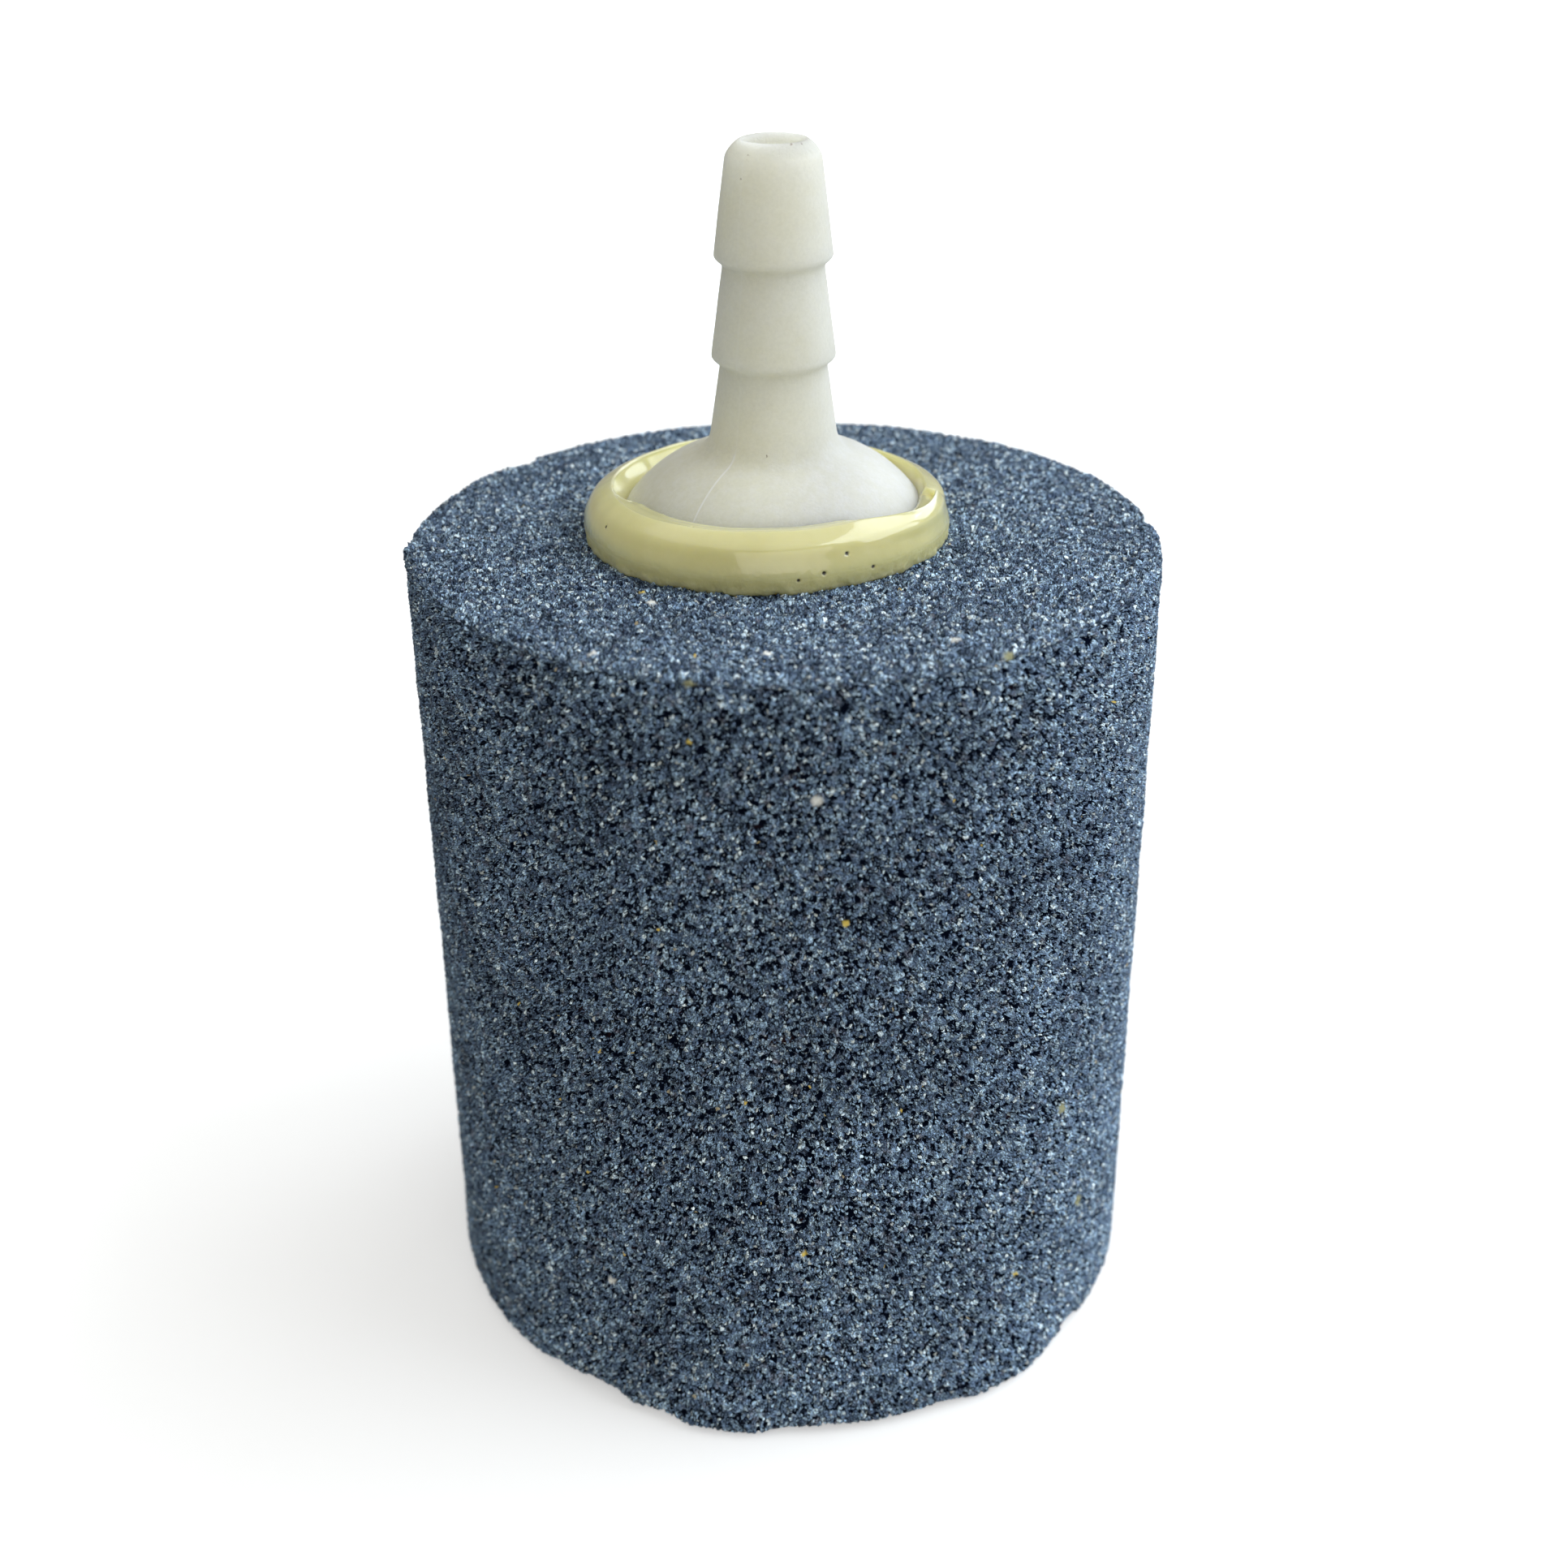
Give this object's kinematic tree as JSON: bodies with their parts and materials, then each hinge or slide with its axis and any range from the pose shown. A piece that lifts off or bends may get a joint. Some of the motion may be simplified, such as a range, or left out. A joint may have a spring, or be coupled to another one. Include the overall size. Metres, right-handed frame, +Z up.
{
  "type": "air stone",
  "caption": "Pond air stone: porous bonded-grain cylinder with a barbed hose connector, domed flange and adhesive bead on its top face.",
  "frame": {"origin": "centre of the stone's flat bottom face", "axes": "+Z up along the stone's axis towards the hose connector; the connector stands slightly towards -X of that axis"},
  "size_m": [0.05, 0.05, 0.0814],
  "materials": {
    "bonded_grain": "coarse open-pored mineral grain, matt",
    "nylon": "milky translucent moulded nylon, satin",
    "cured_epoxy": "cream cured epoxy, glossy, run by hand",
    "bedding_epoxy": "cream cured epoxy, hidden inside the stone"
  },
  "bodies": {
    "root": {"stone_body": "bonded_grain", "hose_connector": "nylon", "adhesive_bead": "cured_epoxy", "spigot_adhesive": "bedding_epoxy"}
  },
  "joints": []
}
